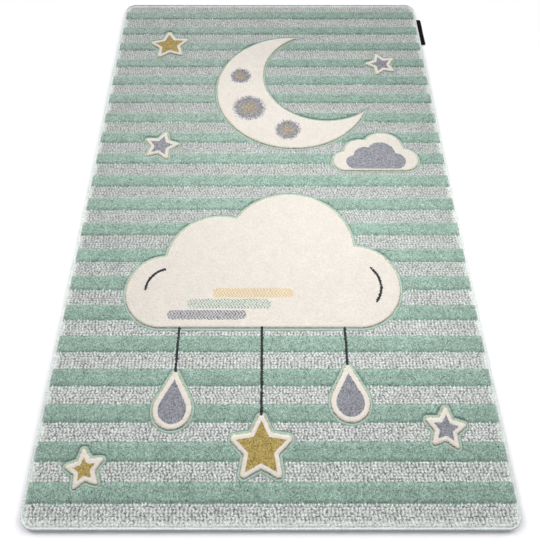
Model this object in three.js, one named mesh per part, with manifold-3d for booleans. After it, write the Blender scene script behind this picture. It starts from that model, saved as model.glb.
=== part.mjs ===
// A kids rug: woven pile with raised plush stripes and motifs, a whipped yarn edge and a ribbon label.
// Millimetres, +Z up. The origin is on the floor under the middle of the rug, and +Y runs to its far end.

import * as THREE from "three";
import { mergeVertices } from "three/addons/utils/BufferGeometryUtils.js";
import Module from "manifold-3d";

const wasm = await Module();
wasm.setup();

// Driving dimensions
const rug = { width: 1000, length: 1600, cornerRadius: 32 };
const pileHeight = { loop: 9, plush: 11, motif: 12, groove: 7.5 };
const stripe = { count: 20, nearMargin: 47, pitch: 77.6, plushWidth: 39, chamfer: 1 };
const binding = { width: 8, height: 9.4, topRound: 4, footRound: 2.5, roundSteps: 3, cornerSteps: 8 };
const slot = { depth: 4, low: 3.2, high: 6.2 };
const label = { reach: 17, tuck: 6, length: 124, middleY: 666, thickness: 1.3, farRound: 5, nearRound: 2 };
const motif = { groove: 6, chamfer: 1, root: 3 };
const rimSlope = 2.5;
const gap = 0.3;
const cutPast = 1;
const arcError = 0.35;

// Motifs: a place on the rug for each, and the shapes that are shared
const moon = { x: 70, y: 390, radius: 235, hollowX: 170, hollowY: 450, hollowRadius: 190 };
const cloudLobes = [
  { x: -245, y: 0, radius: 95 },
  { x: -115, y: 80, radius: 135 },
  { x: 65, y: 120, radius: 165 },
  { x: 225, y: 15, radius: 110 },
];
const cloudBase = { left: -245, right: 225, low: -95, high: 60 };
const clouds = [
  { x: -15, y: -290, scale: 1 },
  { x: 300, y: 110, scale: 0.36 },
];
const stars = [
  { x: -330, y: 590, radius: 64, turn: 0.12 },
  { x: -315, y: 165, radius: 52, turn: -0.2 },
  { x: 355, y: 500, radius: 50, turn: 0.25 },
  { x: -20, y: -650, radius: 70, turn: 0 },
  { x: 375, y: -610, radius: 46, turn: -0.15 },
  { x: -385, y: -690, radius: 42, turn: 0.2 },
];
const starWaist = 0.5;
const starTipRound = 0.13;
const drops = [
  { x: -215, y: -570, radius: 44 },
  { x: 175, y: -555, radius: 44 },
];
const dropTip = { distance: 1.75, radius: 0.16 };

function solidOf(geometry) {
  geometry.deleteAttribute("normal");
  geometry.deleteAttribute("uv");
  const merged = mergeVertices(geometry, 1e-4);
  return new wasm.Manifold(
    new wasm.Mesh({
      numProp: 3,
      vertProperties: new Float32Array(merged.attributes.position.array),
      triVerts: new Uint32Array(merged.index.array),
    }),
  );
}

function geometryOf(solid) {
  const mesh = solid.getMesh();
  const geometry = new THREE.BufferGeometry();
  geometry.setAttribute("position", new THREE.BufferAttribute(mesh.vertProperties, 3));
  geometry.setIndex(new THREE.BufferAttribute(mesh.triVerts, 1));
  geometry.computeVertexNormals();
  return geometry;
}

// Points along an arc, with as many even steps as keep its chords within the arc error
function arc(x, y, radius, start, end) {
  const steps = Math.ceil((end - start) / (2 * Math.acos(1 - arcError / radius)));
  return Array.from({ length: steps + 1 }, (_, step) => {
    const angle = start + ((end - start) * step) / steps;
    return new THREE.Vector2(x + radius * Math.cos(angle), y + radius * Math.sin(angle));
  });
}

function polygon(corners) {
  return new THREE.Shape(corners.map(([x, y]) => new THREE.Vector2(x, y)));
}

// A flat shape raised from one height to another, with its rims chamfered
function prism(shape, low, high, chamfer = 0) {
  const geometry = new THREE.ExtrudeGeometry(shape, {
    depth: high - low - 2 * chamfer,
    bevelEnabled: chamfer > 0,
    bevelSegments: 1,
    bevelThickness: chamfer,
    bevelSize: chamfer,
    bevelOffset: -chamfer,
  });
  geometry.translate(0, 0, low + chamfer);
  return solidOf(geometry);
}

function box(left, right, near, far, low, high) {
  const geometry = new THREE.BoxGeometry(right - left, far - near, high - low);
  geometry.translate((left + right) / 2, (near + far) / 2, (low + high) / 2);
  return solidOf(geometry);
}

function joined(solids) {
  return solids.reduce((whole, solid) => whole.add(solid));
}

// The rug's outline, drawn in from its outer edge
function rugOutline(inset) {
  const radius = rug.cornerRadius - inset;
  const x = rug.width / 2 - rug.cornerRadius;
  const y = rug.length / 2 - rug.cornerRadius;
  return new THREE.Shape([
    ...arc(x, -y, radius, -Math.PI / 2, 0),
    ...arc(x, y, radius, 0, Math.PI / 2),
    ...arc(-x, y, radius, Math.PI / 2, Math.PI),
    ...arc(-x, -y, radius, Math.PI, 1.5 * Math.PI),
  ]);
}

// Outlines of the motifs, each grown outwards by a few millimetres for its groove
function disc(x, y, radius) {
  return new THREE.Shape(arc(x, y, radius, 0, 2 * Math.PI).slice(1));
}

function starOutline(star, grow) {
  const tipRadius = star.radius * starTipRound;
  const tipReach = star.radius - tipRadius;
  const halfAngle = Math.PI / 5;
  const waistReach = tipReach * starWaist;
  const sideX = tipReach - waistReach * Math.cos(halfAngle);
  const sideY = waistReach * Math.sin(halfAngle);
  const sideLength = Math.hypot(sideX, sideY);
  const sideDistance = (tipReach * sideY) / sideLength;
  const round = tipRadius + grow;
  const waist = (waistReach * (sideDistance + round)) / sideDistance;
  const normalTurn = Math.atan2(sideX, sideY);
  const outline = [];
  for (let point = 0; point < 5; point += 1) {
    const angle = Math.PI / 2 + star.turn + 2 * halfAngle * point;
    const tipX = star.x + tipReach * Math.cos(angle);
    const tipY = star.y + tipReach * Math.sin(angle);
    outline.push(...arc(tipX, tipY, round, angle - normalTurn, angle + normalTurn));
    const waistX = star.x + waist * Math.cos(angle + halfAngle);
    const waistY = star.y + waist * Math.sin(angle + halfAngle);
    outline.push(new THREE.Vector2(waistX, waistY));
  }
  return new THREE.Shape(outline);
}

function dropOutline(drop, grow) {
  const tipDistance = drop.radius * dropTip.distance;
  const belly = drop.radius + grow;
  const tip = drop.radius * dropTip.radius + grow;
  const lean = Math.asin((belly - tip) / tipDistance);
  return new THREE.Shape([
    ...arc(drop.x, drop.y + tipDistance, tip, lean, Math.PI - lean),
    ...arc(drop.x, drop.y, belly, Math.PI - lean, 2 * Math.PI + lean),
  ]);
}

function cloudSolid(cloud, grow, low, high, chamfer) {
  const place = (offset, origin) => origin + offset * cloud.scale;
  const parts = cloudLobes.map((lobe) =>
    prism(
      disc(place(lobe.x, cloud.x), place(lobe.y, cloud.y), lobe.radius * cloud.scale + grow),
      low,
      high,
      chamfer,
    ),
  );
  const base = polygon([
    [place(cloudBase.left, cloud.x), place(cloudBase.low, cloud.y) - grow],
    [place(cloudBase.right, cloud.x), place(cloudBase.low, cloud.y) - grow],
    [place(cloudBase.right, cloud.x), place(cloudBase.high, cloud.y)],
    [place(cloudBase.left, cloud.x), place(cloudBase.high, cloud.y)],
  ]);
  return joined([...parts, prism(base, low, high, chamfer)]);
}

// The hollow side of the crescent is cut by a cylinder that flares at the top to chamfer the rim
function moonSolid(grow, low, high, chamfer) {
  const whole = prism(disc(moon.x, moon.y, moon.radius + grow), low, high, chamfer);
  const hollowDisc = disc(moon.hollowX, moon.hollowY, moon.hollowRadius - grow);
  const hollow = prism(hollowDisc, low - cutPast, high + cutPast);
  if (chamfer === 0) {
    return whole.subtract(hollow);
  }
  const edge = moon.hollowRadius;
  const steps = arc(0, 0, edge, 0, 2 * Math.PI).length - 1;
  const flare = new THREE.CylinderGeometry(edge + chamfer, edge - chamfer, 2 * chamfer, steps);
  flare.rotateX(Math.PI / 2);
  flare.rotateZ(Math.PI / 2);
  flare.translate(moon.hollowX, moon.hollowY, high);
  return whole.subtract(hollow).subtract(solidOf(flare));
}

function motifSolids(grow, low, high, chamfer) {
  return joined([
    moonSolid(grow, low, high, chamfer),
    ...clouds.map((cloud) => cloudSolid(cloud, grow, low, high, chamfer)),
    ...stars.map((star) => prism(starOutline(star, grow), low, high, chamfer)),
    ...drops.map((drop) => prism(dropOutline(drop, grow), low, high, chamfer)),
  ]);
}

// One raised plush stripe, running across the rug
function plushStripe(index) {
  const near = -rug.length / 2 + stripe.nearMargin + index * stripe.pitch;
  const far = near + stripe.plushWidth;
  const halfWidth = rug.width / 2 - binding.width;
  const section = polygon([
    [near, 0],
    [far, 0],
    [far, pileHeight.plush - stripe.chamfer],
    [far - stripe.chamfer, pileHeight.plush],
    [near + stripe.chamfer, pileHeight.plush],
    [near, pileHeight.plush - stripe.chamfer],
  ]);
  const geometry = new THREE.ExtrudeGeometry(section, { depth: 2 * halfWidth, bevelEnabled: false });
  geometry.translate(0, 0, -halfWidth);
  geometry.applyMatrix4(new THREE.Matrix4().set(0, 0, 1, 0, 1, 0, 0, 0, 0, 1, 0, 0, 0, 0, 0, 1));
  return solidOf(geometry);
}

// The room that the label takes under the edge, with its clearance
function labelNotch() {
  const outer = rug.width / 2 + cutPast;
  const inner = rug.width / 2 - binding.width - label.tuck - gap;
  const reach = label.length / 2 + gap;
  const high = label.thickness + gap;
  return box(inner, outer, label.middleY - reach, label.middleY + reach, -cutPast, high);
}

function rugBody() {
  const inset = binding.width + gap;
  const stripes = Array.from({ length: stripe.count }, (_, index) => plushStripe(index));
  const ground = prism(rugOutline(inset), 0, pileHeight.loop);
  const grooves = motifSolids(motif.groove, pileHeight.groove, pileHeight.motif + cutPast, 0);
  const plush = motifSolids(0, pileHeight.groove - motif.root, pileHeight.motif, motif.chamfer);
  const slopedRim = prism(rugOutline(inset), -rimSlope, pileHeight.motif, rimSlope);
  const pile = joined([ground, ...stripes]).subtract(grooves).add(plush).intersect(slopedRim);
  const selvedge = prism(rugOutline(binding.width - slot.depth + gap), slot.low + gap, slot.high - gap);
  return pile.add(selvedge).subtract(labelNotch());
}

// The section of the whipped edge: a round-shouldered roll with a slot that grips the selvedge.
// Each point is how far it lies outwards from the inner face, and its height.
function bindingSection() {
  const { width, height, topRound, footRound, roundSteps } = binding;
  const section = [
    [0, 0],
    [width - footRound, 0],
  ];
  for (let step = 1; step <= roundSteps; step += 1) {
    const angle = (step / roundSteps) * (Math.PI / 2);
    section.push([width - footRound * (1 - Math.sin(angle)), footRound * (1 - Math.cos(angle))]);
  }
  for (let step = 0; step <= roundSteps; step += 1) {
    const angle = (step / roundSteps) * (Math.PI / 2);
    section.push([width - topRound * (1 - Math.cos(angle)), height - topRound * (1 - Math.sin(angle))]);
  }
  section.push([0, height], [0, slot.high], [slot.depth, slot.high], [slot.depth, slot.low], [0, slot.low]);
  return section;
}

// The section carried once round the rug, its steps packed into the corners
function edgeBinding() {
  const section = bindingSection();
  const x = rug.width / 2 - rug.cornerRadius;
  const y = rug.length / 2 - rug.cornerRadius;
  const innerRadius = rug.cornerRadius - binding.width;
  const corners = [
    { x, y: -y, start: -Math.PI / 2 },
    { x, y, start: 0 },
    { x: -x, y, start: Math.PI / 2 },
    { x: -x, y: -y, start: Math.PI },
  ];
  const positions = [];
  for (const corner of corners) {
    for (let step = 0; step <= binding.cornerSteps; step += 1) {
      const angle = corner.start + (step / binding.cornerSteps) * (Math.PI / 2);
      for (const [outwards, z] of section) {
        const reach = innerRadius + outwards;
        positions.push(corner.x + reach * Math.cos(angle), corner.y + reach * Math.sin(angle), z);
      }
    }
  }
  const rings = corners.length * (binding.cornerSteps + 1);
  const indices = [];
  for (let ring = 0; ring < rings; ring += 1) {
    const here = ring * section.length;
    const next = ((ring + 1) % rings) * section.length;
    for (let point = 0; point < section.length; point += 1) {
      const after = (point + 1) % section.length;
      indices.push(here + point, next + after, here + after);
      indices.push(here + point, next + point, next + after);
    }
  }
  const geometry = new THREE.BufferGeometry();
  geometry.setAttribute("position", new THREE.Float32BufferAttribute(positions, 3));
  geometry.setIndex(indices);
  return solidOf(geometry).subtract(labelNotch());
}

// A folded woven ribbon that lies flat, its inner end sewn in under the edge
function labelTab() {
  const outer = rug.width / 2 + label.reach;
  const inner = rug.width / 2 - binding.width - label.tuck;
  const near = label.middleY - label.length / 2;
  const far = label.middleY + label.length / 2;
  const { nearRound, farRound } = label;
  const outline = [
    new THREE.Vector2(inner, near),
    ...arc(outer - nearRound, near + nearRound, nearRound, -Math.PI / 2, 0),
    ...arc(outer - farRound, far - farRound, farRound, 0, Math.PI / 2),
    new THREE.Vector2(inner, far),
  ];
  return prism(new THREE.Shape(outline), 0, label.thickness);
}

const fabrics = {
  pile: new THREE.MeshStandardMaterial({ color: 0x9bb2a7, roughness: 0.95, metalness: 0 }),
  yarn: new THREE.MeshStandardMaterial({ color: 0xccd6cf, roughness: 0.9, metalness: 0 }),
  ribbon: new THREE.MeshStandardMaterial({ color: 0x16151c, roughness: 0.7, metalness: 0 }),
};

function named(name, solid, material) {
  const mesh = new THREE.Mesh(geometryOf(solid), material);
  mesh.name = name;
  return mesh;
}

const kidsRug = new THREE.Group();
kidsRug.add(named("rug_body", rugBody(), fabrics.pile));
kidsRug.add(named("edge_binding", edgeBinding(), fabrics.yarn));
kidsRug.add(named("label_tab", labelTab(), fabrics.ribbon));

export default kidsRug;
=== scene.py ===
"""Dresses a kids rug: woven pile in mint plush and grey loop stripes, cream plush motifs with a carved
groove, a whipped yarn edge and a black ribbon tab, on a pale floor. Plan sizes are in millimetres."""

import math

import bpy
import numpy as np
from mathutils import Matrix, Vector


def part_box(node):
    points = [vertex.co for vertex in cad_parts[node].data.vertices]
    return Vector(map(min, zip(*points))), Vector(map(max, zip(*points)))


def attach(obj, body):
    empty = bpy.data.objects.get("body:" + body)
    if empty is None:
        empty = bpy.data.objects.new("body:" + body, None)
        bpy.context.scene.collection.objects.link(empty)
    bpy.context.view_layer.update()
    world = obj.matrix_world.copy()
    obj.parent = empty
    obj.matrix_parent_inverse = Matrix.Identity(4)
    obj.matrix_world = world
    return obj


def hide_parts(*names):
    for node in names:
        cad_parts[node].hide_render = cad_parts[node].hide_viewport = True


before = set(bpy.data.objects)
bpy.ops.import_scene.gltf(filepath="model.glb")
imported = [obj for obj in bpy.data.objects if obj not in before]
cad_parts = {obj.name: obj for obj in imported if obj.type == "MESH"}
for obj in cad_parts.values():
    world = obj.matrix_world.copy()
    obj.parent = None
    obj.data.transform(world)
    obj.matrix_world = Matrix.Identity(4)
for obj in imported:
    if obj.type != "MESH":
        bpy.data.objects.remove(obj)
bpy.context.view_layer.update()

MM = 0.001
SEED = 7

# The rug, as the frame has it
BODY_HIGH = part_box("rug_body")[1]
RING_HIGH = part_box("edge_binding")[1]
TAB_LOW, TAB_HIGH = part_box("label_tab")
HALF_WIDTH = RING_HIGH[0] / MM
HALF_LENGTH = RING_HIGH[1] / MM
CORNER_RADIUS = 32.0
BINDING_WIDTH = 8.0
BINDING_HEIGHT = RING_HIGH[2] / MM
PILE_OVER_BINDING = 2.2
PILE_INSET = BINDING_WIDTH - PILE_OVER_BINDING

# Heights of the pile over the floor, how uneven each kind stands, and how far it sinks beside an edge
LOOP_GROUND, LOOP_RISE, LOOP_HOLLOW, LOOP_UNEVEN = 8.2, 1.5, 0.4, 0.12
PLUSH_HEIGHT, PLUSH_UNEVEN = 11.0, 0.34
PLUSH_LUMPS = [{"depth": 0.22, "cells": 2}, {"depth": 0.15, "cells": 9}]
PLUSH_SINKS = {"by": 1.3, "over": 5.0}
MOTIF_BELOW_TOP = 0.5
MOTIF_HEIGHT, MOTIF_UNEVEN = BODY_HIGH[2] / MM - MOTIF_BELOW_TOP, 0.26
MOTIF_SINKS = {"by": 2.4, "start": -5.0, "end": 0.5}
GROOVE_HEIGHT, GROOVE_UNEVEN = 8.4, 0.3
EDGE_PILE_HEIGHT, EDGE_PILE_LEAN = 7.4, 5.0
GROUND_TOP = 6.2
WALL_FOOT = 5.6

# The stripes and the tufts across and along them
STRIPES = 20
NEAR_MARGIN, STRIPE_PITCH, PLUSH_WIDTH = 47.0, 77.6, 39.0
LOOPS_ACROSS = 128
CELLS_PER_LOOP_X, CELLS_PER_LOOP_Y = 4, 3
LOOP_ROWS = 7
PLUSH_ROWS = 19

# The motifs: a place for each, and the shapes that are shared
GROOVE = 6.0
MOON = {"x": 70, "y": 390, "radius": 235, "hollow_x": 170, "hollow_y": 450, "hollow_radius": 190}
CLOUD_LOBES = [
    {"x": -245, "y": 0, "radius": 95},
    {"x": -115, "y": 80, "radius": 135},
    {"x": 65, "y": 120, "radius": 165},
    {"x": 225, "y": 15, "radius": 110},
]
CLOUD_BASE = {"left": -245, "right": 225, "low": -95, "high": 60}
CLOUDS = [
    {"x": -15, "y": -290, "scale": 1.0},
    {"x": 300, "y": 110, "scale": 0.36},
]
STARS = [
    {"x": -330, "y": 590, "radius": 64, "turn": 0.12, "yarn": "ochre"},
    {"x": -315, "y": 165, "radius": 52, "turn": -0.2, "yarn": "slate"},
    {"x": 355, "y": 500, "radius": 50, "turn": 0.25, "yarn": "slate"},
    {"x": -20, "y": -650, "radius": 70, "turn": 0.0, "yarn": "ochre"},
    {"x": 375, "y": -610, "radius": 46, "turn": -0.15, "yarn": "slate"},
    {"x": -385, "y": -690, "radius": 42, "turn": 0.2, "yarn": "ochre"},
]
STAR_WAIST, STAR_TIP_ROUND, STAR_INSET = 0.5, 0.13, 11.0
DROPS = [
    {"x": -215, "y": -570, "radius": 44, "yarn": "slate"},
    {"x": 175, "y": -555, "radius": 44, "yarn": "slate"},
]
DROP_TIP_DISTANCE, DROP_TIP_RADIUS, DROP_INSET = 1.75, 0.16, 13.0
SMALL_CLOUD_INLAY = {"x": 300, "y": 106, "scale": 0.25}
BARS = [
    {"left": -235, "right": -70, "y": -352, "yarn": "slate", "cells_of_four": 3},
    {"left": -190, "right": -10, "y": -324, "yarn": "mint", "cells_of_four": 2},
    {"left": -130, "right": 45, "y": -296, "yarn": "straw", "cells_of_four": 2},
]
BAR_HALF_HEIGHT = 12.0
SPOTS = [
    {"x": -63, "y": 312, "radius": 50},
    {"x": -92, "y": 447, "radius": 33},
    {"x": 52, "y": 226, "radius": 38},
]
CURLS = [
    {"x": 206, "y": -276, "radius": 66, "start": -38, "end": 46},
    {"x": -250, "y": -286, "radius": 56, "start": 104, "end": 179},
]
THREADS = [
    {"x": -215, "high": -385, "low": -486},
    {"x": -20, "high": -385, "low": -580},
    {"x": 175, "high": -385, "low": -471},
]
LINE_HALF_WIDTH = 3.2

# Yarn colours, as they look on a screen
YARNS = {
    "mint": (0.509, 0.601, 0.552),
    "loop_light": (0.838, 0.853, 0.834),
    "loop_dark": (0.377, 0.391, 0.382),
    "cream": (0.768, 0.745, 0.708),
    "rim": (0.625, 0.700, 0.652),
    "outline": (0.650, 0.650, 0.546),
    "slate": (0.497, 0.500, 0.524),
    "ochre": (0.605, 0.530, 0.300),
    "charcoal": (0.170, 0.175, 0.190),
    "straw": (0.745, 0.640, 0.420),
    "tan": (0.590, 0.545, 0.440),
}
GROUND_COLOUR = (0.74, 0.76, 0.73)
WHIPPED_COLOUR = (0.862, 0.890, 0.871)
RIBBON_COLOUR = (0.062, 0.058, 0.074)

# How light the loops' yarn is: a sum over what a cell shows of its loop, then a contrast and a level.
# Contrast and level ease along the rug, each by an amount between two places: painted light and
# shade that follow the light on the rug.
# A loop's top shows lighter, partly its lighter yarn and partly painted light; the hollow between loops is
# painted shade
LOOP_SHOWS = {"bead": 0.66, "hollow": -0.28, "speckle": 0.19, "loop": 0.05, "all": -0.12}
LOOP_CONTRAST = {
    "base": 1.12,
    "eases": [{"by": -0.50, "start": -700, "end": -50}, {"by": 0.10, "start": 400, "end": 750}],
}
LOOP_LEVEL = {
    "base": 0.515,
    "eases": [{"by": -0.115, "start": -650, "end": -100}, {"by": 0.065, "start": 150, "end": 650}],
}
# Painted light: the loops in the last millimetres before the rug's edge are painted lighter
LOOP_EDGE_PAINTED_LIGHT = {"by": 0.42, "start": -15.0, "end": -3.0}
BEADS_ROW_LIGHT = 0.12

# Mint plush painted paler towards the far left, and with painted light beside the rug's edge. It turns
# towards the light loops' yarn times PALE_SHARE.
PALE_SHARE = 0.75
FAR_LEFT_PALER = {"by": 0.16, "near": -200, "far": 600, "right": 250, "left": -300}
EDGE_PAINTED_LIGHT = {"by": 0.42, "speckle": 0.16, "start": -9.0, "end": -1.0}

# Cream plush painted lighter towards both ends of the rug: painted light, making up for less light there
CREAM_PAINTED_LIGHT = {"by": 0.14, "middle": -80, "start": 150, "end": 500}

# Where the rows of two stripes meet: mint tufts among the last loops, loops over the first tufts, the
# painted shade on the plush's far row and the painted light on its near ones
RAGGED_ROW = {"bead_below": 0.25, "speckle": 0.15}
BEADS_OVER_PLUSH = {"bead_above": 0.45, "share": 0.6}
FAR_ROW_PAINTED_SHADES = (0.68, 0.98)
NEAR_ROWS_PAINTED_LIGHT = 1.12

# Painted shade: the groove's outer cells and the walls of the pile are a little darker than the yarn beside
# them
GROOVE_PAINTED_SHADE = 0.85
WALL_PAINTED_SHADE = 0.9

# The spots' soft rims and centres, as shares of their radius, the bars' zigzag, and the lines' rough sides
SPOT_RIM = (0.72, 1.12)
SPOT_CENTRE = {"least": 0.25, "by": 0.75, "start": 0.30, "end": 0.72}
ZIGZAG_ROWS, ZIGZAG_CELLS = 8, 4
LINE_ROUGH = 0.5

# How unevenly each kind of yarn is dyed: from cell to cell, in lumps and in patches
LUMP_CELLS, PATCH_CELLS = 2, 8
DYE_DEPTHS = {
    "plush": {"cells": 0.26, "lumps": 0.09, "patches": 0.07},
    "loops": {"cells": 0.06, "lumps": 0.04, "patches": 0.02},
    "inlay": {"cells": 0.27, "lumps": 0.08, "patches": 0.02},
    "cream": {"cells": 0.035, "lumps": 0.035, "patches": 0.02},
}
# Motif yarn darker than this, in linear values, counts as an inlay
INLAY_BELOW = 0.5

random = np.random.default_rng(SEED)


def linear(colour):
    """A screen colour as the linear values that shaders take."""
    c = np.asarray(colour, dtype=float)
    return np.where(c <= 0.04045, c / 12.92, ((c + 0.055) / 1.055) ** 2.4)


def smooth(low, high, value):
    """0 at low, 1 at high, and an even curve between them."""
    t = np.clip((value - low) / (high - low), 0.0, 1.0)
    return t * t * (3.0 - 2.0 * t)


def eased(curve, value):
    """A curve's base, changed by each of its eases as value goes from the ease's start to its end."""
    total = curve["base"]
    for ease in curve["eases"]:
        total = total + ease["by"] * smooth(ease["start"], ease["end"], value)
    return total


# Signed distances in the plan, negative inside a shape


def to_disc(x, y, centre_x, centre_y, radius):
    return np.hypot(x - centre_x, y - centre_y) - radius


def to_box(x, y, left, right, low, high):
    across = np.maximum(left - x, x - right)
    along = np.maximum(low - y, y - high)
    outside = np.hypot(np.maximum(across, 0), np.maximum(along, 0))
    return outside + np.minimum(np.maximum(across, along), 0)


def to_cloud(x, y, cloud):
    u = (x - cloud["x"]) / cloud["scale"]
    v = (y - cloud["y"]) / cloud["scale"]
    near = to_box(u, v, CLOUD_BASE["left"], CLOUD_BASE["right"], CLOUD_BASE["low"], CLOUD_BASE["high"])
    for lobe in CLOUD_LOBES:
        near = np.minimum(near, to_disc(u, v, lobe["x"], lobe["y"], lobe["radius"]))
    return near * cloud["scale"]


def to_moon(x, y):
    whole = to_disc(x, y, MOON["x"], MOON["y"], MOON["radius"])
    hollow = to_disc(x, y, MOON["hollow_x"], MOON["hollow_y"], MOON["hollow_radius"])
    return np.maximum(whole, -hollow)


def to_star(x, y, star):
    tip_round = star["radius"] * STAR_TIP_ROUND
    tip = star["radius"] - tip_round
    half_angle = math.pi / 5
    waist_x = tip * STAR_WAIST * math.cos(half_angle)
    waist_y = tip * STAR_WAIST * math.sin(half_angle)
    reach = np.hypot(x - star["x"], y - star["y"])
    angle = np.arctan2(y - star["y"], x - star["x"]) - math.pi / 2 - star["turn"]
    folded = np.abs(np.mod(angle + half_angle, 2 * half_angle) - half_angle)
    u, v = reach * np.cos(folded), reach * np.sin(folded)
    side_x, side_y = waist_x - tip, waist_y
    along = np.clip(((u - tip) * side_x + v * side_y) / (side_x**2 + side_y**2), 0, 1)
    distance = np.hypot(u - tip - along * side_x, v - along * side_y)
    outward = side_y * (u - tip) - side_x * v
    return np.where(outward > 0, distance, -distance) - tip_round


def to_drop(x, y, drop):
    height = drop["radius"] * DROP_TIP_DISTANCE
    belly, tip = drop["radius"], drop["radius"] * DROP_TIP_RADIUS
    slope = (belly - tip) / height
    level = math.sqrt(1 - slope**2)
    u, v = np.abs(x - drop["x"]), y - drop["y"]
    along = -slope * u + level * v
    side = level * u + slope * v - belly
    near_tip = np.hypot(u, v - height) - tip
    return np.where(along < 0, np.hypot(u, v) - belly, np.where(along > level * height, near_tip, side))


def to_motifs(x, y):
    near = to_moon(x, y)
    for cloud in CLOUDS:
        near = np.minimum(near, to_cloud(x, y, cloud))
    for star in STARS:
        near = np.minimum(near, to_star(x, y, star))
    for drop in DROPS:
        near = np.minimum(near, to_drop(x, y, drop))
    return near


def to_inlays(x, y):
    """Distance to the coloured middles of the stars, the drops and the small cloud."""
    near = to_cloud(x, y, SMALL_CLOUD_INLAY)
    for star in STARS:
        near = np.minimum(near, to_star(x, y, star) + STAR_INSET)
    for drop in DROPS:
        near = np.minimum(near, to_drop(x, y, drop) + DROP_INSET)
    return near


def to_pile_edge(x, y):
    """Distance inside the rounded outline where the pile meets the whipped edge, positive outside."""
    radius = CORNER_RADIUS - PILE_INSET
    across = np.abs(x) - (HALF_WIDTH - CORNER_RADIUS)
    along = np.abs(y) - (HALF_LENGTH - CORNER_RADIUS)
    outside = np.hypot(np.maximum(across, 0), np.maximum(along, 0))
    return outside + np.minimum(np.maximum(across, along), 0) - radius


# The lattice of tufts: its lines across and along the rug, and each row's stripe


def lattice_lines():
    """Every line across the rug, and for each row of cells its stripe number and whether it is plush."""
    lines, stripe_of_row, plush_of_row = [], [], []

    def add(low, high, rows, stripe, plush):
        lines.extend(np.linspace(low, high, rows, endpoint=False))
        stripe_of_row.extend([stripe] * rows)
        plush_of_row.extend([plush] * rows)

    near = -HALF_LENGTH + PILE_INSET
    for stripe in range(STRIPES):
        start = -HALF_LENGTH + NEAR_MARGIN + stripe * STRIPE_PITCH
        add(near, start, LOOP_ROWS * CELLS_PER_LOOP_Y, stripe, False)
        add(start, start + PLUSH_WIDTH, PLUSH_ROWS, stripe, True)
        near = start + PLUSH_WIDTH
    far = HALF_LENGTH - PILE_INSET
    add(near, far, LOOP_ROWS * CELLS_PER_LOOP_Y, STRIPES, False)
    lines.append(far)
    return np.array(lines), np.array(stripe_of_row), np.array(plush_of_row)


def grain(rows, columns, coarse):
    """Smooth noise from -1 to 1 over the lattice, with lumps of about coarse cells."""
    count = (max(2, rows // coarse) + 2, max(2, columns // coarse) + 2)
    knots = random.uniform(-1, 1, count)
    u = np.linspace(0, count[0] - 1.001, rows)
    v = np.linspace(0, count[1] - 1.001, columns)
    i, j = u.astype(int), v.astype(int)
    s, t = smooth(0, 1, u - i)[:, None], smooth(0, 1, v - j)[None, :]
    low = knots[np.ix_(i, j)] * (1 - t) + knots[np.ix_(i, j + 1)] * t
    high = knots[np.ix_(i + 1, j)] * (1 - t) + knots[np.ix_(i + 1, j + 1)] * t
    return low * (1 - s) + high * s


line_y, row_stripe, row_plush = lattice_lines()
line_x = np.linspace(-HALF_WIDTH + PILE_INSET, HALF_WIDTH - PILE_INSET, LOOPS_ACROSS * CELLS_PER_LOOP_X + 1)
ROWS, COLUMNS = len(line_y) - 1, len(line_x) - 1
grid_x, grid_y = np.meshgrid(line_x, line_y)
plush_cells = np.repeat(row_plush[:, None], COLUMNS, axis=1)
stripe_cells = np.repeat(row_stripe[:, None], COLUMNS, axis=1)

# Line crossings beside a motif's edge move on to contours a step apart, so that its outline runs smooth.
# The others move a little at random, so that no row looks ruled.
JITTER = 0.38
CONTOUR_STEP = 2.0
FIRST_CONTOUR, LAST_CONTOUR = -2.0, GROOVE


def moved_by(distance, shift):
    """A move of every crossing by shift along the slope of a distance."""
    slope_y, slope_x = np.gradient(distance, line_y, line_x)
    return shift * slope_x, shift * slope_y


node_edge = to_pile_edge(grid_x, grid_y)
node_motif = to_motifs(grid_x, grid_y)
node_inlay = to_inlays(grid_x, grid_y)
contour = np.clip(np.round(node_motif / CONTOUR_STEP) * CONTOUR_STEP, FIRST_CONTOUR, LAST_CONTOUR)
by_motif = np.abs(contour - node_motif) <= CONTOUR_STEP / 2
by_inlay = (np.abs(node_inlay) <= CONTOUR_STEP / 2) & ~by_motif
motif_move = moved_by(node_motif, np.where(by_motif, contour - node_motif, 0))
inlay_move = moved_by(node_inlay, np.where(by_inlay, -node_inlay, 0))
loose = np.where(by_motif | by_inlay, 0, JITTER)
node_x = grid_x + motif_move[0] + inlay_move[0] + loose * random.uniform(-1, 1, grid_x.shape)
node_y = grid_y + motif_move[1] + inlay_move[1] + loose * random.uniform(-1, 1, grid_x.shape)


def cell_middles(nodes):
    return (nodes[:-1, :-1] + nodes[1:, 1:] + nodes[:-1, 1:] + nodes[1:, :-1]) / 4


# A cell belongs to the pile if its middle is inside the outline, and to a motif if it is inside that
cell_x, cell_y = cell_middles(node_x), cell_middles(node_y)
cell_motif = to_motifs(cell_x, cell_y)
in_pile = to_pile_edge(cell_x, cell_y) < 0
is_motif = in_pile & (cell_motif < 0)
is_groove = in_pile & ~is_motif & (cell_motif < GROOVE)
is_plush = in_pile & ~is_motif & ~is_groove & plush_cells
is_loop = in_pile & ~is_motif & ~is_groove & ~plush_cells

# Rows counted from the nearest edge of the stripe that a line lies in, and how far the plush has risen there
PLUSH_RISE = [0.0, 0.42, 0.74, 0.92, 1.0]
line_is_edge = np.ones(ROWS + 1, dtype=bool)
line_is_edge[1:-1] = row_plush[1:] != row_plush[:-1]
edge_lines = np.flatnonzero(line_is_edge)
rows_from_edge = np.abs(np.arange(ROWS + 1)[:, None] - edge_lines[None, :]).min(axis=1)


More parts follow.
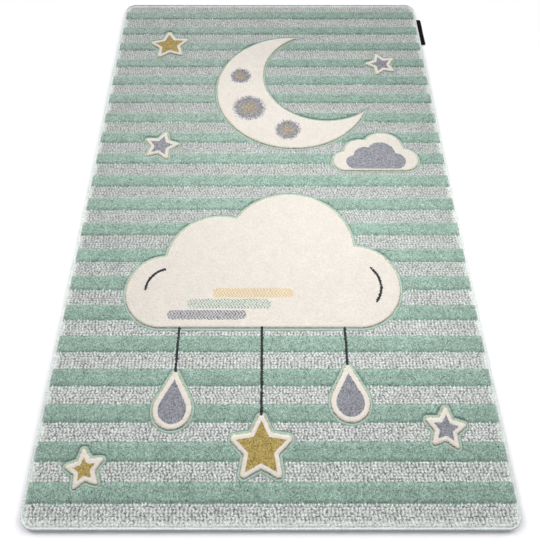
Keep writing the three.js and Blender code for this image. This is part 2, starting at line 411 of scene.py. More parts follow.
def plush_heights(meeting):
    """The plush rises from the loops beside it, whose height is in meeting, over its first rows."""
    height = PLUSH_HEIGHT + PLUSH_UNEVEN * random.normal(0, 1, grid_x.shape)
    for lumps in PLUSH_LUMPS:
        height += lumps["depth"] * grain(ROWS + 1, COLUMNS + 1, lumps["cells"])
    height -= PLUSH_SINKS["by"] * smooth(GROOVE + PLUSH_SINKS["over"], GROOVE, node_motif)
    rise = np.interp(rows_from_edge, np.arange(len(PLUSH_RISE)), PLUSH_RISE)[:, None]
    return meeting + (height - meeting) * rise


def loop_domes(x, y_row):
    """How high the loops stand and how hollow it is between them, from 0 to 1, and the tone of each loop.
    x is in cells across the rug, and y_row in rows of loops from the near end."""
    row = np.clip(np.floor(y_row).astype(int), 0, loop_tone.shape[0] - 1)
    shifted = x / CELLS_PER_LOOP_X + loop_shift[row]
    column = np.clip(np.floor(shifted).astype(int), 0, loop_tone.shape[1] - 1)
    along = y_row - row - 0.5 - loop_place[1][row, column]
    across = shifted - column - 0.5 - loop_place[0][row, column] + loop_slant[row, column] * along
    bead = 1 - (across / LOOP_HALF_WIDTH) ** 2 - (along / LOOP_HALF_LENGTH) ** 2
    bead = np.clip(bead, 0, 1) * loop_size[row, column]
    hollow = smooth(*HOLLOW_REACH, across**2 + along**2)
    return bead, hollow, loop_tone[row, column]


def loop_row_of_lines():
    """The row of loops that each line and each row of cells falls in, counted in the loop stripes alone."""
    lines = np.concatenate([[0.0], np.cumsum(np.where(row_plush, 0.0, 1.0 / CELLS_PER_LOOP_Y))])
    return lines, lines[:-1] + 0.5 / CELLS_PER_LOOP_Y


# Each loop's size, as a share of its place in its row, and how it strays from that place
LOOP_HALF_WIDTH, LOOP_HALF_LENGTH = 0.35, 0.52
HOLLOW_REACH = (0.26, 0.42)
ROW_SHIFTS = {0.0: 0.45, 0.5: 0.35, 0.25: 0.2}
LOOP_STRAY, LOOP_SLANT = 0.085, 0.28
LOOP_SIZES = (0.68, 1.12)
loop_shape = ((STRIPES + 1) * LOOP_ROWS, LOOPS_ACROSS + 2)
row_shift = random.choice(list(ROW_SHIFTS), loop_shape[0], p=list(ROW_SHIFTS.values()))
loop_shift = np.cumsum(row_shift) % 1.0
loop_place = random.normal(0, LOOP_STRAY, (2,) + loop_shape)
loop_size = random.uniform(*LOOP_SIZES, loop_shape)
loop_slant = random.normal(0, LOOP_SLANT, loop_shape)
loop_tone = random.normal(0, 1, loop_shape)
loop_lines, loop_cells = loop_row_of_lines()


def motif_heights():
    height = MOTIF_HEIGHT + MOTIF_UNEVEN * random.normal(0, 1, grid_x.shape)
    return height - MOTIF_SINKS["by"] * smooth(MOTIF_SINKS["start"], MOTIF_SINKS["end"], node_motif)


def groove_heights():
    return GROOVE_HEIGHT + GROOVE_UNEVEN * random.normal(0, 1, grid_x.shape)


def eased_at_edge(height):
    """The pile leans down to the whipped edge over its last few millimetres."""
    return height - (height - EDGE_PILE_HEIGHT) * smooth(-EDGE_PILE_LEAN, 0.0, node_edge)


line_bead, line_hollow, _ = loop_domes(np.arange(COLUMNS + 1)[None, :], loop_lines[:, None])
cell_bead, cell_hollow, cell_tone = loop_domes(np.arange(COLUMNS)[None, :] + 0.5, loop_cells[:, None])
loop_height = LOOP_GROUND + LOOP_RISE * line_bead - LOOP_HOLLOW * line_hollow
loop_height += LOOP_UNEVEN * random.normal(0, 1, grid_x.shape)
heights = {
    "plush": eased_at_edge(plush_heights(loop_height)),
    "loop": eased_at_edge(loop_height),
    "motif": eased_at_edge(motif_heights()),
    "groove": groove_heights(),
}


# The yarn of each cell, with painted light and shade

# Rows of cells beside the edge of a stripe: bright beads beyond the plush, ragged ones before it
starts_plush = np.flatnonzero(row_plush[1:] & ~row_plush[:-1]) + 1
ends_plush = np.flatnonzero(~row_plush[1:] & row_plush[:-1])
beads_row = ends_plush + 1
# The plush's far row gets painted shade and its near rows painted light
far_row = np.isin(np.arange(ROWS), ends_plush)
near_rows = np.isin(np.arange(ROWS), np.concatenate([starts_plush, starts_plush + 1]))
ragged_row = np.isin(np.arange(ROWS), starts_plush - 1)


def inked(x, y):
    """Distance to the nearest thin dark line of the motifs."""
    near = np.full(x.shape, 1e3)
    for thread in THREADS:
        near = np.minimum(near, to_box(x, y, thread["x"], thread["x"], thread["low"], thread["high"]))
    for curl in CURLS:
        angle = np.degrees(np.arctan2(y - curl["y"], x - curl["x"]))
        on_arc = np.abs(np.hypot(x - curl["x"], y - curl["y"]) - curl["radius"])
        ends = []
        for end in (curl["start"], curl["end"]):
            end_x = curl["x"] + curl["radius"] * math.cos(math.radians(end))
            end_y = curl["y"] + curl["radius"] * math.sin(math.radians(end))
            ends.append(np.hypot(x - end_x, y - end_y))
        between = (angle > curl["start"]) & (angle < curl["end"])
        near = np.minimum(near, np.where(between, on_arc, np.minimum(*ends)))
    return near - LINE_HALF_WIDTH


def yarn_and_painted_light_colours():
    shape = cell_x.shape
    colour = np.zeros(shape + (3,))
    chance = random.uniform(0, 1, shape)
    speckle = random.normal(0, 1, shape)

    def dye(where, name):
        colour[where] = linear(YARNS[name])

    dye(is_plush, "mint")
    cell_edge = to_pile_edge(cell_x, cell_y)
    up_far = smooth(FAR_LEFT_PALER["near"], FAR_LEFT_PALER["far"], cell_y)
    to_left = smooth(FAR_LEFT_PALER["right"], FAR_LEFT_PALER["left"], cell_x)
    # Painted light on the mint plush beside the rug's edge
    at_edge = smooth(EDGE_PAINTED_LIGHT["start"], EDGE_PAINTED_LIGHT["end"], cell_edge)
    edge_painted_light = at_edge * np.clip(EDGE_PAINTED_LIGHT["by"] + EDGE_PAINTED_LIGHT["speckle"] * speckle, 0, 1)
    paler_by = np.maximum(FAR_LEFT_PALER["by"] * up_far * to_left, edge_painted_light)
    colour += (is_plush * paler_by)[..., None] * (linear(YARNS["loop_light"]) * PALE_SHARE - colour)

    # Painted shade in the hollows between loops, and partly painted light on their tops
    shows = LOOP_SHOWS["bead"] * cell_bead + LOOP_SHOWS["hollow"] * cell_hollow
    shows = shows + LOOP_SHOWS["speckle"] * speckle + LOOP_SHOWS["loop"] * cell_tone + LOOP_SHOWS["all"]
    # Painted light and shade along the rug, through the eased level and contrast
    tone = eased(LOOP_LEVEL, cell_y) + eased(LOOP_CONTRAST, cell_y) * shows
    # Painted light on the loops beside the rug's edge
    tone += LOOP_EDGE_PAINTED_LIGHT["by"] * smooth(LOOP_EDGE_PAINTED_LIGHT["start"], LOOP_EDGE_PAINTED_LIGHT["end"], cell_edge)
    tone[beads_row] += BEADS_ROW_LIGHT
    light = np.clip(tone, 0, 1)[..., None]
    loops = linear(YARNS["loop_dark"]) * (1 - light) + linear(YARNS["loop_light"]) * light
    colour[is_loop] = loops[is_loop]
    ragged = cell_bead + RAGGED_ROW["speckle"] * speckle < RAGGED_ROW["bead_below"]
    dye(is_loop & ragged_row[:, None] & ragged, "mint")
    beads_below = cell_bead[starts_plush - 1] > BEADS_OVER_PLUSH["bead_above"]
    beads_below = beads_below & (chance[starts_plush] < BEADS_OVER_PLUSH["share"])
    colour[starts_plush] = np.where(
        (is_plush[starts_plush] & beads_below)[..., None], linear(YARNS["loop_light"]), colour[starts_plush]
    )
    dye(is_groove, "rim")
    # Painted shade in the groove's outer cells, beside the plush
    colour[is_groove & (cell_motif > LAST_CONTOUR - CONTOUR_STEP)] = GROOVE_PAINTED_SHADE * linear(YARNS["mint"])
    dye(is_motif, "cream")
    # Painted light on the cream plush towards both ends
    from_middle = np.abs(cell_y[is_motif] - CREAM_PAINTED_LIGHT["middle"])
    lighter = CREAM_PAINTED_LIGHT["by"] * smooth(CREAM_PAINTED_LIGHT["start"], CREAM_PAINTED_LIGHT["end"], from_middle)
    colour[is_motif] *= 1 + lighter[:, None]
    dye(is_motif & (cell_motif > FIRST_CONTOUR), "outline")

    dye(is_motif & (to_cloud(cell_x, cell_y, SMALL_CLOUD_INLAY) < 0), "slate")
    for star in STARS:
        dye(is_motif & (to_star(cell_x, cell_y, star) < -STAR_INSET), star["yarn"])
    for drop in DROPS:
        dye(is_motif & (to_drop(cell_x, cell_y, drop) < -DROP_INSET), drop["yarn"])
    row, column = np.indices(shape)
    zigzag = np.mod(column + np.abs(np.mod(row, ZIGZAG_ROWS) - ZIGZAG_ROWS // 2), ZIGZAG_CELLS)
    for bar in BARS:
        near = to_box(cell_x, cell_y, bar["left"], bar["right"], bar["y"], bar["y"]) - BAR_HALF_HEIGHT
        dye(is_motif & (near < 0) & (zigzag < bar["cells_of_four"]), bar["yarn"])
    for spot in SPOTS:
        reach = np.hypot(cell_x - spot["x"], cell_y - spot["y"]) / spot["radius"]
        dye(is_motif & (chance > smooth(*SPOT_RIM, reach)), "slate")
        centre = SPOT_CENTRE["by"] * smooth(SPOT_CENTRE["start"], SPOT_CENTRE["end"], reach)
        dye(is_motif & (chance > SPOT_CENTRE["least"] + centre), "tan")
    dye(in_pile & (inked(cell_x, cell_y) + LINE_ROUGH * speckle < 0), "charcoal")

    inlay = is_motif & (colour.max(axis=-1) < INLAY_BELOW)
    kinds = {"plush": is_plush, "loops": is_loop, "inlay": inlay}

    def depth(name):
        depths = [DYE_DEPTHS[kind][name] for kind in kinds]
        return np.select(list(kinds.values()), depths, DYE_DEPTHS["cream"][name])

    shade = 1 + depth("cells") * random.normal(0, 1, shape) + depth("lumps") * grain(*shape, LUMP_CELLS)
    shade += depth("patches") * grain(*shape, PATCH_CELLS)
    # Painted shade on the plush's far row and painted light on its near rows
    shade *= np.where(is_plush & far_row[:, None], random.uniform(*FAR_ROW_PAINTED_SHADES, shape), 1)
    shade *= np.where(is_plush & near_rows[:, None], NEAR_ROWS_PAINTED_LIGHT, 1)
    return np.clip(colour * shade[..., None], 0, 1)


yarn = yarn_and_painted_light_colours()


def pile_mesh(name, layers):
    """One piece of pile. layers is [(cells, heights, meets)]: each is raised from its own heights, and its
    rim drops to the ground wherever the next cell isn't in the same layer or in meets."""
    points, faces, colours = [], [], []
    offset = 0
    for cells, height, meets in layers:
        number = np.arange((ROWS + 1) * (COLUMNS + 1)).reshape(ROWS + 1, COLUMNS + 1)
        a, b = number[:-1, :-1][cells], number[:-1, 1:][cells]
        c, d = number[1:, 1:][cells], number[1:, :-1][cells]
        quads = [np.stack([a, b, c, d], axis=1)]
        tints = [yarn[cells]]
        below = number.size
        padded = np.pad(cells | meets, 1, mode="edge")
        sides = [
            (padded[:-2, 1:-1], lambda j, i: (number[j, i], number[j, i + 1])),
            (padded[2:, 1:-1], lambda j, i: (number[j + 1, i + 1], number[j + 1, i])),
            (padded[1:-1, :-2], lambda j, i: (number[j + 1, i], number[j, i])),
            (padded[1:-1, 2:], lambda j, i: (number[j, i + 1], number[j + 1, i + 1])),
        ]
        for neighbour, corners in sides:
            open_j, open_i = np.nonzero(cells & ~neighbour)
            first, second = corners(open_j, open_i)
            quads.append(np.stack([first + below, second + below, second, first], axis=1))
            # Painted shade on the pile's walls
            tints.append(yarn[open_j, open_i] * WALL_PAINTED_SHADE)
        quads = np.concatenate(quads)
        flat = np.stack([node_x, node_y, height], axis=-1).reshape(-1, 3)
        foot = flat.copy()
        foot[:, 2] = WALL_FOOT
        both = np.concatenate([flat, foot])
        used, renumbered = np.unique(quads, return_inverse=True)
        points.append(both[used])
        faces.append(renumbered.reshape(quads.shape) + offset)
        colours.append(np.concatenate(tints))
        offset += len(used)
    return mesh_piece(name, np.concatenate(points) * MM, np.concatenate(faces), np.concatenate(colours))


def mesh_piece(name, points, quads, colours):
    """A mesh of quads, with one colour a face in the attribute that the materials read."""
    mesh = bpy.data.meshes.new(name)
    mesh.vertices.add(len(points))
    mesh.vertices.foreach_set("co", points.astype(np.float32).ravel())
    mesh.loops.add(quads.size)
    mesh.loops.foreach_set("vertex_index", quads.astype(np.int32).ravel())
    mesh.polygons.add(len(quads))
    mesh.polygons.foreach_set("loop_start", np.arange(0, quads.size, 4, dtype=np.int32))
    mesh.update(calc_edges=True)
    mesh.polygons.foreach_set("use_smooth", np.ones(len(quads), dtype=bool))
    tint = mesh.color_attributes.new("yarn", "FLOAT_COLOR", "CORNER")
    rgba = np.ones((len(quads), 4, 4), dtype=np.float32)
    rgba[:, :, :3] = colours[:, None, :]
    tint.data.foreach_set("color", rgba.ravel())
    mesh.validate()
    piece = bpy.data.objects.new(name, mesh)
    bpy.context.scene.collection.objects.link(piece)
    return piece


# The whipped edge: yarn wound round the rug's rim, one ridge a turn, leaning as a sewn edge does
WRAP_PITCH = 2.6
WRAP_SECTION = [
    {"out": 1.1, "z": 7.2},
    {"out": 2.8, "z": 8.6},
    {"out": 4.8, "z": 9.0},
    {"out": 6.8, "z": 8.9},
    {"out": 7.8, "z": 7.0},
    {"out": 7.7, "z": 2.8},
    {"out": 6.2, "z": 0.7},
    {"out": 2.5, "z": 0.35},
    {"out": 0.2, "z": 1.2},
    {"out": 0.0, "z": 5.0},
]
WRAP_MIDDLE = {"out": 3.8, "z": 4.8}
WRAP_LEAN = 3.2
WRAP_RISE = 0.34
WRAP_STRAY = {"rise": 0.12, "along": 0.15, "inner": 0.45}
WRAP_LEAST_Z = 0.05

# The yarn's tones: ridges, and the dips between them painted darker as painted shade, how turns differ,
# and the inner seam, painted dark in dashes for its stitches and for painted shade in the gap beside the
# pile, along the rug's two ends alone
WRAP_TONES = {"ridge": 1.0, "dip_shade": 0.86, "uneven": 0.05}
SEAM_AND_SHADE_TONES = (0.28, 0.66)
SEAM_AND_SHADE_ON_SIDES = 0.96
SEAM_AND_SHADE_FROM_END = 14.0


def edge_path(travel):
    """Places and outward normals along the inner line of the binding, for distances along it."""
    radius = CORNER_RADIUS - BINDING_WIDTH
    corner_x, corner_y = HALF_WIDTH - CORNER_RADIUS, HALF_LENGTH - CORNER_RADIUS
    bend = radius * math.pi / 2
    legs = [2 * corner_y, bend, 2 * corner_x, bend] * 2
    starts = np.concatenate([[0], np.cumsum(legs)])
    s = np.mod(travel, starts[-1])
    x, y = np.zeros_like(s), np.zeros_like(s)
    nx, ny = np.zeros_like(s), np.zeros_like(s)
    for leg in range(len(legs)):
        on = (s >= starts[leg]) & (s < starts[leg + 1])
        t = s[on] - starts[leg]
        quarter = leg // 2
        turn = Matrix.Rotation(quarter * math.pi / 2, 2)
        wide, long = (corner_x, corner_y) if quarter % 2 == 0 else (corner_y, corner_x)
        if leg % 2 == 0:
            local = np.stack([np.full_like(t, wide + radius), t - long])
            normal = np.stack([np.ones_like(t), np.zeros_like(t)])
        else:
            angle = t / radius
            normal = np.stack([np.cos(angle), np.sin(angle)])
            local = np.array([[wide], [long]]) + radius * normal
        rotation = np.array(turn)
        x[on], y[on] = rotation @ local
        nx[on], ny[on] = rotation @ normal
    return x, y, nx, ny, starts[-1]


def whipped_edge():
    total = edge_path(np.zeros(1))[4]
    wraps = round(total / WRAP_PITCH)
    rings = 2 * wraps
    sides = len(WRAP_SECTION)
    pitch = total / rings
    out = np.array([point["out"] for point in WRAP_SECTION])
    high = np.array([point["z"] for point in WRAP_SECTION])
    ridge = np.where(np.arange(rings) % 2 == 0, WRAP_RISE, -WRAP_RISE)
    ridge = ridge + random.normal(0, WRAP_STRAY["rise"], rings)
    travel = pitch * np.arange(rings)[:, None] + WRAP_LEAN * (high / BINDING_HEIGHT)[None, :]
    travel = travel + random.normal(0, WRAP_STRAY["along"], (rings, 1))
    x, y, nx, ny, _ = edge_path(travel.ravel())
    away_out, away_z = out - WRAP_MIDDLE["out"], high - WRAP_MIDDLE["z"]
    length = np.hypot(away_out, away_z)
    wide = out[None, :] + ridge[:, None] * (away_out / length)[None, :]
    tall = high[None, :] + ridge[:, None] * (away_z / length)[None, :]
    wide[:, 0] += np.repeat(random.normal(0, WRAP_STRAY["inner"], wraps), 2)
    tall = np.clip(tall, WRAP_LEAST_Z, None)
    points = np.stack([x + nx * wide.ravel(), y + ny * wide.ravel(), tall.ravel()], axis=1)
    ring, side = np.meshgrid(np.arange(rings), np.arange(sides), indexing="ij")
    after, beside = (ring + 1) % rings, (side + 1) % sides
    quads = np.stack(
        [ring * sides + side, ring * sides + beside, after * sides + beside, after * sides + side], axis=-1
    ).reshape(-1, 4)
    base = linear(WHIPPED_COLOUR)
    tone = np.repeat(1 + random.normal(0, WRAP_TONES["uneven"], wraps), 2)
    # Painted shade in the dips between turns
    on_ridge = np.where(np.arange(rings) % 2 == 0, WRAP_TONES["ridge"], WRAP_TONES["dip_shade"])
    shade = (on_ridge * tone)[:, None] * np.ones((1, sides))
    # The inner seam's stitches and the shade in the gap beside the pile, painted dark in dashes
    seam = np.repeat(random.uniform(*SEAM_AND_SHADE_TONES, wraps // 2 + 1), 4)[:rings]
    at_ends = np.abs(y.reshape(rings, sides)[:, 0]) > HALF_LENGTH - SEAM_AND_SHADE_FROM_END
    seam = np.where(at_ends, seam, SEAM_AND_SHADE_ON_SIDES)
    shade[:, 0] *= seam
    shade[:, -1] *= seam
    colours = np.clip(base[None, None, :] * shade[:, :, None], 0, 1)
    return mesh_piece("whipped_edge", points * MM, quads, colours.reshape(-1, 3))


def flat_slab(name, outline, low, high, colour):
    """A closed flat slab from an outline."""
    count = len(outline)
    points = [(x, y, low) for x, y in outline] + [(x, y, high) for x, y in outline]
    faces = [tuple(reversed(range(count))), tuple(range(count, 2 * count))]
    for start in range(count):
        after = (start + 1) % count
        faces.append((start, after, after + count, start + count))
    mesh = bpy.data.meshes.new(name)
    mesh.from_pydata([tuple(v * MM for v in p) for p in points], [], faces)
    tint = mesh.color_attributes.new("yarn", "FLOAT_COLOR", "CORNER")
    rgba = np.ones((len(tint.data), 4), dtype=np.float32)
    rgba[:, :3] = linear(colour)
    tint.data.foreach_set("color", rgba.ravel())
    piece = bpy.data.objects.new(name, mesh)
    bpy.context.scene.collection.objects.link(piece)
    return piece


CORNER_STEPS = 8


def rounded_outline(inset):
    """The rug's outline, moved in by inset, with a point at every step round each corner."""
    radius = CORNER_RADIUS - inset
    corner_x, corner_y = HALF_WIDTH - CORNER_RADIUS, HALF_LENGTH - CORNER_RADIUS
    outline = []
    for quarter, (side_x, side_y) in enumerate([(1, 1), (-1, 1), (-1, -1), (1, -1)]):
        for step in range(CORNER_STEPS + 1):
            angle = (quarter + step / CORNER_STEPS) * math.pi / 2
            x = side_x * corner_x + radius * math.cos(angle)
            y = side_y * corner_y + radius * math.sin(angle)
            outline.append((x, y))
    return outline


def ground_weave():
    return flat_slab("ground_weave", rounded_outline(BINDING_WIDTH), 0.0, GROUND_TOP, GROUND_COLOUR)


# The ribbon tab: a folded woven tape, lifted a little at its outer fold in a slow wave, with rounded outer
# corners, fine ribs and a stitched seam. Shares run from 0 at its inner end to 1 at its fold.
TAB_STEPS_X, TAB_STEPS_Y = 28, 90
TAPE_CLEAR = 0.1
TAB_LIFT = {"by": 1.2, "start": 0.5, "steady": 0.6, "wave": 0.4, "turns": 9.0, "shift": 0.7}
TAB_CORNERS = {"near": 2.0, "far": 5.0, "bend": 6}
TAPE_RIB = {"rise": 0.05, "pitch": 1.6}
TAPE_SEAM = {"depth": 0.14, "place": 0.60, "width": 0.02, "stitch": 2.2, "gap": -0.3}
TAPE_FOLD = {"pinch": 0.75, "start": 0.93}


def ribbon_tab():
    inner, outer = TAB_LOW[0] / MM, TAB_HIGH[0] / MM
    near, far = TAB_LOW[1] / MM, TAB_HIGH[1] / MM
    thick = TAB_HIGH[2] / MM - TAPE_CLEAR
    u = np.linspace(0, 1, TAB_STEPS_X + 1)
    v = np.linspace(0, 1, TAB_STEPS_Y + 1)
    across, along = np.meshgrid(u, v)
    x = inner + (outer - inner) * across
    y = near + (far - near) * along
    for depth, radius in ((y - near, TAB_CORNERS["near"]), (far - y, TAB_CORNERS["far"])):
        cut = radius - np.sqrt(np.clip(radius**2 - np.clip(radius - depth, 0, radius) ** 2, 0, None))
        x = x - np.where(depth < radius, cut * across ** TAB_CORNERS["bend"], 0)
    wave = TAB_LIFT["steady"] + TAB_LIFT["wave"] * np.sin(TAB_LIFT["turns"] * along + TAB_LIFT["shift"])
    lift = TAB_LIFT["by"] * smooth(TAB_LIFT["start"], 1.0, across) * wave
    rib = TAPE_RIB["rise"] * np.sin(along * (far - near) * 2 * math.pi / TAPE_RIB["pitch"])
    seam = TAPE_SEAM["depth"] * np.exp(-(((across - TAPE_SEAM["place"]) / TAPE_SEAM["width"]) ** 2))
    seam = seam * (np.sin(along * (far - near) * TAPE_SEAM["stitch"]) > TAPE_SEAM["gap"])
    pinch = 1.0 - TAPE_FOLD["pinch"] * smooth(TAPE_FOLD["start"], 1.0, across)
    top = lift + thick * (0.5 + 0.5 * pinch) + rib - seam
    bottom = lift + thick * 0.5 * (1 - pinch)
    points = np.concatenate([np.stack([x, y, z], axis=-1).reshape(-1, 3) for z in (top, bottom)])
    number = np.arange((TAB_STEPS_Y + 1) * (TAB_STEPS_X + 1)).reshape(TAB_STEPS_Y + 1, TAB_STEPS_X + 1)
    a, b, c, d = number[:-1, :-1], number[:-1, 1:], number[1:, 1:], number[1:, :-1]
    upper = np.stack([a, b, c, d], axis=-1).reshape(-1, 4)
    lower = upper[:, ::-1] + number.size
    rim = np.concatenate([number[0, :-1], number[:-1, -1], number[-1, :0:-1], number[:0:-1, 0]])
    after = np.roll(rim, -1)
    side = np.stack([rim + number.size, after + number.size, after, rim], axis=1)
    quads = np.concatenate([upper, lower, side])
    colours = np.tile(linear(RIBBON_COLOUR), (len(quads), 1))
    return mesh_piece("ribbon_tab", points * MM, quads, colours)


# Materials. Scales are in waves a metre, and depths are shares of the yarn's colour.
CLOTHS = [
    {"name": "mint_plush", "fibres": (380.0, 0.14), "patches": (30.0, 0.07), "bump": 0.5, "rough": 0.9},
    {"name": "grey_loop", "fibres": (420.0, 0.10), "patches": (24.0, 0.05), "bump": 0.5, "rough": 0.88},
    {"name": "cream_plush", "fibres": (420.0, 0.03), "patches": (26.0, 0.02), "bump": 0.3, "rough": 0.9},
    {"name": "whipped_yarn", "fibres": (1500.0, 0.05), "patches": (40.0, 0.05), "bump": 0.5, "rough": 0.8},
    {"name": "ground_weave", "fibres": (1200.0, 0.12), "patches": (60.0, 0.06), "bump": 0.8, "rough": 0.92},
    {"name": "ribbon_tape", "fibres": (2200.0, 0.25), "patches": (120.0, 0.15), "bump": 0.6, "rough": 0.7},
]
SHEEN = {"mint_plush": 0.12, "grey_loop": 0.08, "cream_plush": 0.12, "whipped_yarn": 0.15}
SHEEN_ROUGHNESS = 0.6
YARN_GLOSS, TAPE_GLOSS = 0.15, 0.03
NOISE_LOW, NOISE_HIGH = 0.3, 0.7
NOISE_DETAIL = {"fibres": 3.0, "patches": 4.0, "roughness": 2.0, "relief": 4.0}
ROUGHNESS_SCALE, RELIEF_SCALE = 0.5, 1.3
ROUGHNESS_SPREAD = (-0.06, 0.04)
BUMP_DEPTH = 0.0006


def cloth_material(name, fibres, patches, bump, rough):
    """Dyed yarn: the face's colour, yarn with its painted light and shade, darkened and lightened by fibres
    and by larger worn patches. fibres and patches are each a scale and a depth."""
    material = bpy.data.materials.new(name)
    material.use_nodes = True
    nodes, links = material.node_tree.nodes, material.node_tree.links
    shader = nodes["Principled BSDF"]
    shader.inputs["Sheen Weight"].default_value = SHEEN.get(name, 0.0)
    shader.inputs["Sheen Roughness"].default_value = SHEEN_ROUGHNESS
    shader.inputs["Specular IOR Level"].default_value = TAPE_GLOSS if name == "ribbon_tape" else YARN_GLOSS
    place = nodes.new("ShaderNodeTexCoord")
    tint = nodes.new("ShaderNodeAttribute")
    tint.attribute_name = "yarn"

    def noise(scale, detail, low, high):
        texture = nodes.new("ShaderNodeTexNoise")
        texture.inputs["Scale"].default_value = scale
        texture.inputs["Detail"].default_value = detail
        links.new(place.outputs["Object"], texture.inputs["Vector"])
        level = nodes.new("ShaderNodeMapRange")
        level.inputs["From Min"].default_value = NOISE_LOW
        level.inputs["From Max"].default_value = NOISE_HIGH
        level.inputs["To Min"].default_value = low
        level.inputs["To Max"].default_value = high
        links.new(texture.outputs["Fac"], level.inputs["Value"])
        return level.outputs["Result"]

    fibre_scale, fibre_depth = fibres
    patch_scale, patch_depth = patches
    fibre_shade = noise(fibre_scale, NOISE_DETAIL["fibres"], 1 - fibre_depth, 1 + fibre_depth)
    patch_shade = noise(patch_scale, NOISE_DETAIL["patches"], 1 - patch_depth, 1 + patch_depth)
    both = nodes.new("ShaderNodeMath")
    both.operation = "MULTIPLY"
    links.new(fibre_shade, both.inputs[0])
    links.new(patch_shade, both.inputs[1])
    dyed = nodes.new("ShaderNodeVectorMath")
    dyed.operation = "SCALE"
    links.new(tint.outputs["Color"], dyed.inputs[0])
    links.new(both.outputs["Value"], dyed.inputs["Scale"])
    links.new(dyed.outputs["Vector"], shader.inputs["Base Color"])
    low, high = (rough + spread for spread in ROUGHNESS_SPREAD)
    roughness = noise(fibre_scale * ROUGHNESS_SCALE, NOISE_DETAIL["roughness"], low, high)
    links.new(roughness, shader.inputs["Roughness"])
    relief = nodes.new("ShaderNodeBump")
    relief.inputs["Strength"].default_value = bump
    relief.inputs["Distance"].default_value = BUMP_DEPTH
    height = noise(fibre_scale * RELIEF_SCALE, NOISE_DETAIL["relief"], 0.0, 1.0)
    links.new(height, relief.inputs["Height"])
    links.new(relief.outputs["Normal"], shader.inputs["Normal"])
    return material


# The floor lies just under the rug, with painted shade that darkens it towards the rug, against the pools
# of light over the middle. Its lengths are in metres.
FLOOR_SIZE, FLOOR_DROP = 14.0, 0.0003
FLOOR_ROUGHNESS = 0.9
FLOOR_PAINTED_SHADE = {"near": 0.35, "far": 0.95, "near_tone": 0.80, "far_tone": 0.95}


def plain_floor():
    bpy.ops.mesh.primitive_plane_add(size=FLOOR_SIZE, location=(0, 0, -FLOOR_DROP))
    floor = bpy.context.object
    floor.name = "studio_floor"
    material = bpy.data.materials.new("studio_floor")
    material.use_nodes = True
    shader = material.node_tree.nodes["Principled BSDF"]
    shader.inputs["Roughness"].default_value = FLOOR_ROUGHNESS
    shader.inputs["Specular IOR Level"].default_value = 0.0
    nodes, links = material.node_tree.nodes, material.node_tree.links
    place = nodes.new("ShaderNodeTexCoord")
    reach = nodes.new("ShaderNodeVectorMath")
    reach.operation = "LENGTH"
    links.new(place.outputs["Object"], reach.inputs[0])
    # Painted shade: the floor darker near the rug
    level = nodes.new("ShaderNodeMapRange")
    level.inputs["From Min"].default_value = FLOOR_PAINTED_SHADE["near"]
    level.inputs["From Max"].default_value = FLOOR_PAINTED_SHADE["far"]
    level.inputs["To Min"].default_value = FLOOR_PAINTED_SHADE["near_tone"]
    level.inputs["To Max"].default_value = FLOOR_PAINTED_SHADE["far_tone"]
    links.new(reach.outputs["Value"], level.inputs["Value"])
    links.new(level.outputs["Result"], shader.inputs["Base Color"])
    floor.data.materials.append(material)
    return floor


# Camera, worked out so that the rug's outline falls where the photograph has it
IMAGE_PIXELS = 540.0
FOCAL_PIXELS = 454.1
CAMERA_PITCH = 64.114
CAMERA_PLACE = (-0.0048, -0.7289, 1.0322)
CAMERA_SHIFT = 1.5
SENSOR_MM = 36.0
CLIP_METRES = (0.01, 100.0)


def add_camera():
    data = bpy.data.cameras.new("photo_camera")
    data.sensor_width = SENSOR_MM
    data.lens = SENSOR_MM * FOCAL_PIXELS / IMAGE_PIXELS
    data.shift_x = CAMERA_SHIFT / IMAGE_PIXELS
    data.clip_start, data.clip_end = CLIP_METRES
    camera = bpy.data.objects.new("photo_camera", data)
    camera.location = CAMERA_PLACE
    camera.rotation_euler = (math.radians(90 - CAMERA_PITCH), 0, 0)
    bpy.context.scene.collection.objects.link(camera)
    bpy.context.scene.camera = camera


# Lights: three soft suns from beyond the far end and one from the near end, and pools of light over the
# middle. Angles are in degrees and places in metres.
SUNS = [
    {"name": "left_sun", "energy": 2.09, "angle": 32, "lean": 57.3, "turn": 50},
    {"name": "right_sun", "energy": 2.09, "angle": 32, "lean": 57.3, "turn": -50},
    {"name": "far_sun", "energy": 0.59, "angle": 32, "lean": 46, "turn": 0},
    {"name": "near_sun", "energy": 0.50, "angle": 50, "lean": 35, "turn": 180},
]
POOLS = [
    {"name": "wide_pool", "energy": 1.7, "size": 0.7, "spread": 60, "place": (0.0, -0.05, 1.5)},
    {"name": "right_pool", "energy": 0.27, "size": 0.4, "spread": 60, "place": (0.40, -0.16, 1.0)},
]
SKY = {"strength": 0.085, "colour": (0.94, 0.88, 1.18)}


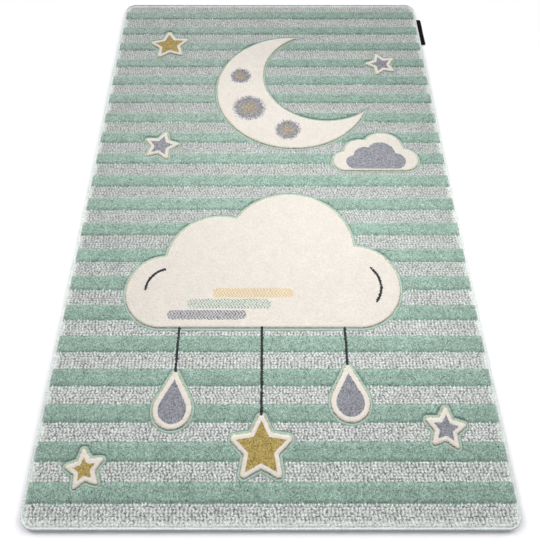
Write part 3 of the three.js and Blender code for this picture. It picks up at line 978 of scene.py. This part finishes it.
def add_light():
    scene = bpy.context.scene
    scene.view_settings.view_transform = "Standard"
    world = bpy.data.worlds.new("studio")
    world.use_nodes = True
    backdrop = world.node_tree.nodes["Background"]
    backdrop.inputs["Color"].default_value = (*SKY["colour"], 1)
    backdrop.inputs["Strength"].default_value = SKY["strength"]
    scene.world = world
    for sun in SUNS:
        sun_data = bpy.data.lights.new(sun["name"], "SUN")
        sun_data.energy = sun["energy"]
        sun_data.angle = math.radians(sun["angle"])
        lamp = bpy.data.objects.new(sun["name"], sun_data)
        lamp.rotation_euler = (math.radians(-sun["lean"]), 0, math.radians(sun["turn"]))
        scene.collection.objects.link(lamp)
    for pool in POOLS:
        pool_data = bpy.data.lights.new(pool["name"], "AREA")
        pool_data.energy = pool["energy"]
        pool_data.size = pool["size"]
        pool_data.spread = math.radians(pool["spread"])
        lamp = bpy.data.objects.new(pool["name"], pool_data)
        lamp.location = pool["place"]
        scene.collection.objects.link(lamp)


add_camera()

cloth = {look["name"]: cloth_material(**look) for look in CLOTHS}

MIDDLE_STRIPE = STRIPES // 2
near_half = stripe_cells < MIDDLE_STRIPE
everywhere = np.ones_like(in_pile)
pile = []
for half, cells in (("near", near_half), ("far", ~near_half)):
    piece = pile_mesh("plush_stripes_" + half, [(is_plush & cells, heights["plush"], ~is_groove)])
    piece.data.materials.append(cloth["mint_plush"])
    pile.append(piece)
    piece = pile_mesh("loop_stripes_" + half, [(is_loop & cells, heights["loop"], everywhere)])
    piece.data.materials.append(cloth["grey_loop"])
    pile.append(piece)
    raised = (is_motif & cells, heights["motif"], is_motif | ~in_pile)
    sunk = (is_groove & cells, heights["groove"], everywhere)
    piece = pile_mesh("plush_motifs_" + half, [raised, sunk])
    piece.data.materials.append(cloth["cream_plush"])
    pile.append(piece)

ground = ground_weave()
ground.data.materials.append(cloth["ground_weave"])
edge = whipped_edge()
edge.data.materials.append(cloth["whipped_yarn"])
tab = ribbon_tab()
tab.data.materials.append(cloth["ribbon_tape"])

for piece in [*pile, ground]:
    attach(piece, "root")
    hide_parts("rug_body")
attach(edge, "root")
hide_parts("edge_binding")
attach(tab, "root")
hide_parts("label_tab")

plain_floor()
add_light()
